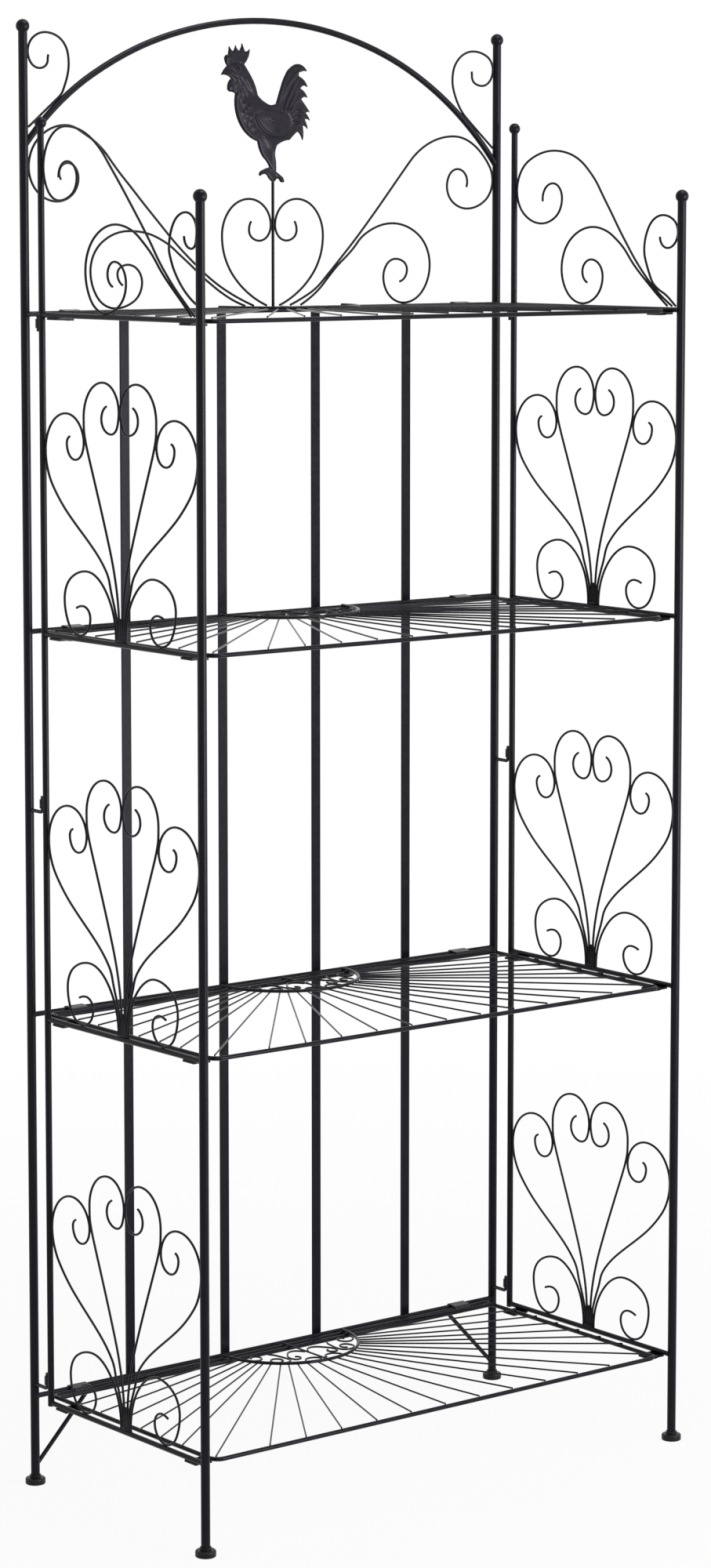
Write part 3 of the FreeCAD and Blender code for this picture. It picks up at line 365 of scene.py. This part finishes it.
def outline_loop(node):
    """The outline of the plate's outer wall, read from the faces that cross its middle plane."""
    mesh = node.data
    world = node.matrix_world
    links = {}
    for polygon in mesh.polygons:
        if abs(polygon.normal.y) > FLAT_WALL_NORMAL:
            continue
        wall = [world @ mesh.vertices[index].co for index in polygon.vertices]
        if not min(corner.y for corner in wall) < REAR_Y < max(corner.y for corner in wall):
            continue
        front = []
        for corner in wall:
            if corner.y < REAR_Y:
                u, v = to_plate(corner)
                front.append((round(u, 3), round(v, 3)))
        for a, b in zip(front, front[1:]):
            if a != b:
                links.setdefault(a, set()).add(b)
                links.setdefault(b, set()).add(a)
    start = min(links)
    loop = [start]
    before = None
    here = start
    while True:
        ahead = [point for point in links[here] if point != before]
        if not ahead or ahead[0] == start or len(loop) > len(links):
            break
        before, here = here, ahead[0]
        loop.append(here)
    return np.array(loop)


def resampled(loop, spacing):
    """The same closed loop with its points evenly spread."""
    closed = np.vstack([loop, loop[:1]])
    lengths = np.hypot(*np.diff(closed, axis=0).T)
    along = np.concatenate([[0.0], np.cumsum(lengths)])
    places = np.linspace(0.0, along[-1], int(along[-1] / spacing), endpoint=False)
    return np.column_stack([np.interp(places, along, closed[:, k]) for k in (0, 1)])


def curve_points(keys, steps=10):
    """A smooth line through the keys."""
    keys = np.array(keys, dtype=float)
    padded = np.vstack([2 * keys[0] - keys[1], keys, 2 * keys[-1] - keys[-2]])
    points = []
    for i in range(1, len(padded) - 2):
        a, b, c, d = padded[i - 1:i + 3]
        for step in range(steps):
            t = step / steps
            points.append(0.5 * (2 * b + (c - a) * t + (2 * a - 5 * b + 4 * c - d) * t**2
                                 + (3 * b - a - 3 * c + d) * t**3))
    points.append(keys[-1])
    return np.array(points)


def line_distance(where, keys):
    """Signed distance of each point from a curve, and how far along the curve its foot is."""
    line = curve_points(keys)
    starts = line[:-1]
    spans = line[1:] - starts
    best = np.full(len(where), np.inf)
    signed = np.zeros(len(where))
    share = np.zeros(len(where))
    for i, (start, span) in enumerate(zip(starts, spans)):
        away = where - start
        t = np.clip(away @ span / (span @ span), 0.0, 1.0)
        offset = away - t[:, None] * span
        distance = np.hypot(offset[:, 0], offset[:, 1])
        closer = distance < best
        side = np.sign(span[0] * offset[:, 1] - span[1] * offset[:, 0])
        best[closer] = distance[closer]
        signed[closer] = (side * distance)[closer]
        share[closer] = ((i + t) / len(starts))[closer]
    return signed, share


def bell(distance, width):
    """1 at no distance, falling off over the width."""
    return np.exp(-(distance / width) ** 2)


def smooth_step(value):
    value = np.clip(value, 0.0, 1.0)
    return value * value * (3 - 2 * value)


def bulge(where, centre, radius, height):
    away = where - np.array(centre)
    return height * bell(np.hypot(away[:, 0], away[:, 1]), radius)


def ridge(where, keys, width, height):
    """A raised line that fades at both ends."""
    distance, share = line_distance(where, keys)
    fade = np.clip(np.minimum(share, 1 - share) / RIDGE_TAPER, RIDGE_END_SHARE, 1.0)
    return height * fade * bell(distance, width)


def quill(where, keys, width, height):
    """A raised line with a groove on the left of its run."""
    distance, share = line_distance(where, keys)
    fade = np.clip((1.0 - share) / QUILL_TAPER, QUILL_TAPER, 1.0)
    groove = QUILL_GROOVE_DEPTH * bell(distance - QUILL_GROOVE_PLACE * width, QUILL_GROOVE_WIDTH * width)
    return height * fade * (bell(distance + width, width) - groove)


def wing(where):
    distance, _ = line_distance(where, WING)
    raised = WING_HEIGHT * smooth_step((distance - WING_EDGE_START) / WING_EDGE_WIDTH)
    return raised - WING_GROOVE_DEPTH * bell(distance - WING_GROOVE_PLACE, WING_GROOVE_WIDTH)


def relief(where, edge_distance):
    """Half the ornament's thickness over its outline, in millimetres."""
    round_in = np.clip(edge_distance / EDGE_ROUNDING, 0.0, 1.0)
    half = PLATE_EDGE + EDGE_SWELL * np.sqrt(1 - (1 - round_in) ** 2)
    shape = wing(where)
    for centre, radius, height in SWELLINGS:
        shape += bulge(where, centre, radius, height)
    for centre in BREAST_BUMPS:
        shape += bulge(where, centre, BREAST_BUMP_RADIUS, BREAST_BUMP_HEIGHT)
    for keys in WING_FEATHERS:
        shape += ridge(where, keys, *WING_FEATHER_SIZE)
    for keys in TAIL_QUILLS:
        shape += quill(where, keys, *TAIL_QUILL_SIZE)
    for keys in HACKLES:
        shape += ridge(where, keys, *HACKLE_SIZE)
    for width, height, keys in SINGLE_LINES:
        shape += ridge(where, keys, width, height)
    from_eye = np.hypot(where[:, 0] - EYE[0], where[:, 1] - EYE[1])
    for radius, width, height in EYE_RINGS:
        shape += height * bell(from_eye - radius, width)
    inner = smooth_step(edge_distance / MODELLING_MARGIN)
    return np.minimum(half + inner * shape, RELIEF_LIMIT)


def relief_points(outline, inward, clearance):
    """Points for the relief's skin: the outline, rings just inside it and an even field."""
    layers = [outline]
    for ring in RIM_RINGS:
        candidates = outline + inward * ring
        layers.append(candidates[clearance(candidates) > RIM_CLEARANCE_SHARE * ring])
    low = outline.min(axis=0)
    high = outline.max(axis=0)
    rows = np.arange(low[1], high[1], OUTLINE_SPACING * math.sqrt(0.75))
    columns = np.arange(low[0], high[0], OUTLINE_SPACING)
    field = np.array([(u + (0.5 * OUTLINE_SPACING if k % 2 else 0.0), v)
                      for k, v in enumerate(rows) for u in columns])
    layers.append(field[clearance(field) > RIM_RINGS[-1] + 0.5 * OUTLINE_SPACING])
    return np.vstack(layers)


def rooster():
    """The cast bird: two mirrored skins of relief, joined by a narrow wall along the outline."""
    outline = resampled(outline_loop(nodes["rooster_ornament"]), OUTLINE_SPACING)
    count = len(outline)
    along = np.roll(outline, -1, axis=0) - np.roll(outline, 1, axis=0)
    after = np.roll(outline, -1, axis=0)
    turn = np.sum(outline[:, 0] * after[:, 1] - after[:, 0] * outline[:, 1])
    inward = np.column_stack([-along[:, 1], along[:, 0]]) * np.sign(turn)
    inward /= np.hypot(inward[:, 0], inward[:, 1])[:, None]
    tree = kdtree.KDTree(count)
    for index, (u, v) in enumerate(outline):
        tree.insert((u, v, 0.0), index)
    tree.balance()

    def clearance(points):
        return np.array([tree.find((u, v, 0.0))[2] for u, v in points])

    flat = relief_points(outline, inward, clearance)
    order = list(range(count))
    if turn < 0:
        order.reverse()
    placed, _, faces, origins, _, _ = geometry.delaunay_2d_cdt(
        [Vector(point) for point in flat], [], [order], 1, MERGE_DISTANCE)
    points = np.array([(point.x, point.y) for point in placed])
    depth = clearance(points)
    on_edge = np.array([bool(source) and min(source) < count for source in origins])
    depth[on_edge] = 0.0
    half = relief(points, depth)

    used = sorted({index for face in faces for index in face})
    number = {index: k for k, index in enumerate(used)}
    solid = []
    for sign in (-1, 1):
        for index in used:
            u, v = points[index]
            solid.append(((u + STEM_X) * MM, REAR_Y + sign * half[index] * MM, (v + STEM_TOP) * MM))
    shift = len(used)
    skin = []
    edges = {}
    for face in faces:
        a, b, c = [number[index] for index in face]
        skin.append((a, b, c))
        skin.append((c + shift, b + shift, a + shift))
        for edge in ((a, b), (b, c), (c, a)):
            edges[edge] = True
    for a, b in edges:
        if (b, a) not in edges:
            skin.append((b, a, a + shift, b + shift))
    piece = finished("rooster_relief", solid, skin, "ornament_coat", "back_frame")
    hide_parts("rooster_ornament")


# ---------------------------------------------------------------- welds
# The bead round a rail's end: its radius, and its waves' height, count and share of the seed
BEAD_RADIUS = 0.00075
BEAD_WAVES = ((0.00016, 7, 1), (0.00010, 3, 2))
BEAD_STEPS = 36
BEAD_SIDES = 8
BACK_SEED_STEP = 1.7
POST_SEED_STEP = 1.3
STILE_SEED_STEP = 2.1

# The puddle at the foot of a fan panel's bundle, and the web that fills the bundle above it
PUDDLE_SIZE = (0.0026, 0.0115, 0.0022)
PUDDLE_RISE = 0.0012
PUDDLE_RINGS = 6
PUDDLE_SIDES = 10
PUDDLE_WAVES = (0.10, 0.07)
WEB_HEIGHT = 0.024
WEB_BASE_WIDTH = 0.0205
WEB_TOP_WIDTH = 0.0150
WEB_THICKNESS = 0.0022
WEB_ROWS = 10
WEB_COLUMNS = 16
WEB_EDGE_WAVE = 0.08


class Welds:
    """The weld metal of one body, gathered into one mesh."""

    def __init__(self):
        self.points = []
        self.faces = []

    def bead(self, path, radii):
        """A closed tube along a loop of points."""
        first = len(self.points)
        count = len(path)
        middle = sum(path, Vector()) / count
        for k, point in enumerate(path):
            tangent = (path[(k + 1) % count] - path[k - 1]).normalized()
            out = point - middle
            out = (out - tangent * out.dot(tangent)).normalized()
            side = tangent.cross(out)
            for j in range(BEAD_SIDES):
                angle = 2 * math.pi * j / BEAD_SIDES
                self.points.append(point + (out * math.cos(angle) + side * math.sin(angle)) * radii[k])
        for k in range(count):
            here = first + k * BEAD_SIDES
            ahead = first + (k + 1) % count * BEAD_SIDES
            for j in range(BEAD_SIDES):
                i = (j + 1) % BEAD_SIDES
                self.faces.append((here + j, here + i, ahead + i, ahead + j))

    def saddle(self, centre, run, upright_radius, rail_radius, seed):
        """The fillet where a rail leaves an upright, with run pointing along the rail."""
        run = Vector(run).normalized()
        up = Vector((0, 0, 1))
        across = up.cross(run)
        path = []
        radii = []
        for k in range(BEAD_STEPS):
            angle = 2 * math.pi * k / BEAD_STEPS
            wide = rail_radius * math.cos(angle)
            path.append(Vector(centre) + run * math.sqrt(upright_radius**2 - wide**2)
                        + across * wide + up * (rail_radius * math.sin(angle)))
            radii.append(BEAD_RADIUS + sum(height * math.sin(waves * angle + share * seed)
                                           for height, waves, share in BEAD_WAVES))
        self.bead(path, radii)

    def puddle(self, centre, size, seed):
        """A small uneven lump of weld metal."""
        first = len(self.points)
        slow, quick = PUDDLE_WAVES
        self.points.append(Vector(centre) + Vector((0, 0, size[2])))
        for i in range(1, PUDDLE_RINGS):
            polar = math.pi * i / PUDDLE_RINGS
            for j in range(PUDDLE_SIDES):
                angle = 2 * math.pi * j / PUDDLE_SIDES
                swell = 1 + slow * math.sin(3 * angle + seed) * math.sin(polar)
                swell += quick * math.sin(5 * polar + 2 * seed)
                self.points.append(Vector(centre) + swell * Vector((
                    size[0] * math.sin(polar) * math.cos(angle),
                    size[1] * math.sin(polar) * math.sin(angle),
                    size[2] * math.cos(polar))))
        self.points.append(Vector(centre) - Vector((0, 0, size[2])))
        last = len(self.points) - 1
        for j in range(PUDDLE_SIDES):
            k = (j + 1) % PUDDLE_SIDES
            self.faces.append((first, first + 1 + j, first + 1 + k))
            self.faces.append((last, last - PUDDLE_SIDES + k, last - PUDDLE_SIDES + j))
            for i in range(PUDDLE_RINGS - 2):
                here = first + 1 + i * PUDDLE_SIDES
                below = here + PUDDLE_SIDES
                self.faces.append((here + j, below + j, below + k, here + k))

    def web(self, x, y, bottom):
        """A thin sheet of weld metal between the wires of a bundle, fading out at its upper edge."""
        first = len(self.points)
        for i in range(WEB_ROWS + 1):
            share = i / WEB_ROWS
            wide = WEB_BASE_WIDTH + (WEB_TOP_WIDTH - WEB_BASE_WIDTH) * share
            half_thick = WEB_THICKNESS * math.sqrt(1 - share**2) / 2
            for j in range(WEB_COLUMNS):
                angle = 2 * math.pi * j / WEB_COLUMNS
                wave = 1 + WEB_EDGE_WAVE * math.sin(5 * math.cos(angle))
                self.points.append(Vector((x + half_thick * math.sin(angle),
                                           y + wide * math.cos(angle) / 2,
                                           bottom + WEB_HEIGHT * share * wave)))
        for i in range(WEB_ROWS):
            here = first + i * WEB_COLUMNS
            above = here + WEB_COLUMNS
            for j in range(WEB_COLUMNS):
                k = (j + 1) % WEB_COLUMNS
                self.faces.append((here + j, here + k, above + k, above + j))
        self.faces.append(tuple(first + j for j in reversed(range(WEB_COLUMNS))))

    def finish(self, name, body):
        finished(name, self.points, self.faces, "powder_coat", body)


def back_welds():
    welds = Welds()
    for number, height in enumerate(RAIL_HEIGHTS):
        for _, side in SIDES:
            welds.saddle((side * HALF_WIDTH, REAR_Y, height), (-side, 0, 0), POST_RADIUS, RAIL_RADIUS,
                         number * BACK_SEED_STEP + side)
    welds.finish("back_frame_welds", "back_frame")


def side_welds(hand, side):
    welds = Welds()
    x = side * HALF_WIDTH
    for number, height in enumerate(RAIL_HEIGHTS):
        welds.saddle((x, FRONT_Y, height), (0, 1, 0), POST_RADIUS, RAIL_RADIUS,
                     number * POST_SEED_STEP + side)
        welds.saddle((x, STILE_Y, height), (0, -1, 0), STILE_RADIUS, RAIL_RADIUS,
                     number * STILE_SEED_STEP + side)
    for number, height in enumerate(RAIL_HEIGHTS[:FAN_COUNT]):
        foot_of_bundle = height + RAIL_RADIUS + PUDDLE_RISE
        welds.puddle((x, FAN_Y, foot_of_bundle), PUDDLE_SIZE, number + side)
        welds.web(x, FAN_Y, foot_of_bundle)
    welds.finish("side_frame_welds_" + hand, "side_frame_" + hand)


rooster()
back_welds()
for hand, side in SIDES:
    side_welds(hand, side)

# ---------------------------------------------------------------- stage, light and camera
FLOOR_SIZE = 14.0
FLOOR_LIGHT = (0.83, 0.83, 0.83, 1.0)
FLOOR_DARK = (0.80, 0.80, 0.80, 1.0)
FLOOR_STOPS = (0.3, 0.7)
FLOOR_ROUGHNESS = 0.8
FLOOR_GLOSS = 0.1
# The floor goes over to plain white between these distances from the rack
NEAR_WHITE = 0.93
FAR_WHITE = 1.0
WHITE_START = 0.5
WHITE_END = 2.6
WORLD_FILL = 0.2

# Lamps: place, the point that it faces, width and height in metres, and power in watts
LAMPS = {
    "key": ((1.053, -3.128, 0.98), (0.0, 0.0, 0.98), 1.5, 1.9, 88.0),
    "right": ((2.55, -1.58, 1.35), (0.0, 0.0, 1.0), 1.0, 1.9, 14.0),
    "left": ((-2.75, 1.19, 1.35), (0.0, 0.0, 1.0), 1.0, 1.9, 7.0),
    "top": ((0.2, -0.7, 3.6), (0.0, 0.0, 1.0), 1.8, 1.4, 34.0),
}

# The camera was solved from the rack's posts and rails in the photo, in its 907 x 2000 frame
SENSOR = 36.0
FOCAL_PIXELS = 5291.7
FRAME_HEIGHT_PIXELS = 2000.0
SHIFT_UP = -0.075
CAMERA_PLACE = (-3.1725, -3.9893, 1.5872)
YAW = 0.6710
PITCH = 0.1127


def white_backdrop_share(tree):
    """1 for the rays that see the background itself: the camera's, mirrored and refracted ones."""
    rays = tree.nodes.new("ShaderNodeLightPath")
    seen = rays.outputs["Is Camera Ray"]
    for name in ("Is Glossy Ray", "Is Transmission Ray"):
        either = tree.nodes.new("ShaderNodeMath")
        either.operation = "MAXIMUM"
        tree.links.new(seen, either.inputs[0])
        tree.links.new(rays.outputs[name], either.inputs[1])
        seen = either.outputs[0]
    return seen


def floor_material():
    """A white sweep: pale floor that keeps some shadow near the rack and is plain white farther out."""
    graph = Graph("pale_floor")
    graph.feed(graph.ramp(graph.noise(3.0, 3.0), FLOOR_STOPS, (FLOOR_LIGHT, FLOOR_DARK)), "Base Color")
    graph.fix("Roughness", FLOOR_ROUGHNESS)
    graph.fix("Specular IOR Level", FLOOR_GLOSS)
    white = graph.add("ShaderNodeEmission")
    reach = graph.add("ShaderNodeVectorMath", operation="LENGTH")
    graph.link(graph.coordinates, reach.inputs[0])
    share = graph.span(reach.outputs["Value"], NEAR_WHITE, FAR_WHITE, WHITE_START, WHITE_END)
    both = graph.add("ShaderNodeMath", operation="MULTIPLY")
    graph.link(share, both.inputs[0])
    graph.link(white_backdrop_share(graph.tree), both.inputs[1])
    blend = graph.add("ShaderNodeMixShader")
    graph.link(both.outputs[0], blend.inputs[0])
    graph.link(graph.shader.outputs[0], blend.inputs[1])
    graph.link(white.outputs[0], blend.inputs[2])
    graph.link(blend.outputs[0], graph.tree.nodes["Material Output"].inputs["Surface"])
    return graph.material


def floor(size):
    mesh = bpy.data.meshes.new("floor")
    half = size / 2
    square = [(-half, -half, 0), (half, -half, 0), (half, half, 0), (-half, half, 0)]
    mesh.from_pydata(square, [], [(0, 1, 2, 3)])
    mesh.materials.append(floor_material())
    piece = bpy.data.objects.new("floor", mesh)
    bpy.context.scene.collection.objects.link(piece)


def area_light(name, location, target, width, height, power):
    lamp = bpy.data.lights.new(name, "AREA")
    lamp.shape = "RECTANGLE"
    lamp.size = width
    lamp.size_y = height
    lamp.energy = power
    piece = bpy.data.objects.new(name, lamp)
    piece.location = location
    aim = Vector(target) - Vector(location)
    piece.rotation_euler = aim.to_track_quat("-Z", "Y").to_euler()
    bpy.context.scene.collection.objects.link(piece)


def make_world(fill):
    world = bpy.data.worlds.new("studio")
    bpy.context.scene.world = world
    world.use_nodes = True
    tree = world.node_tree
    background = tree.nodes["Background"]
    background.inputs["Color"].default_value = (1.0, 1.0, 1.0, 1.0)
    strength = tree.nodes.new("ShaderNodeMapRange")
    strength.inputs["To Min"].default_value = fill
    strength.inputs["To Max"].default_value = 1.0
    tree.links.new(white_backdrop_share(tree), strength.inputs["Value"])
    tree.links.new(strength.outputs["Result"], background.inputs["Strength"])


def make_camera():
    data = bpy.data.cameras.new("camera")
    data.sensor_width = SENSOR
    data.lens = FOCAL_PIXELS / FRAME_HEIGHT_PIXELS * SENSOR
    data.shift_y = SHIFT_UP
    camera = bpy.data.objects.new("camera", data)
    camera.location = CAMERA_PLACE
    look = Vector((math.sin(YAW) * math.cos(PITCH), math.cos(YAW) * math.cos(PITCH), -math.sin(PITCH)))
    camera.rotation_euler = look.to_track_quat("-Z", "Y").to_euler()
    bpy.context.scene.collection.objects.link(camera)
    bpy.context.scene.camera = camera


floor(FLOOR_SIZE)
for name, settings in LAMPS.items():
    area_light(name, *settings)
make_world(WORLD_FILL)
make_camera()
bpy.context.scene.view_settings.view_transform = "Standard"
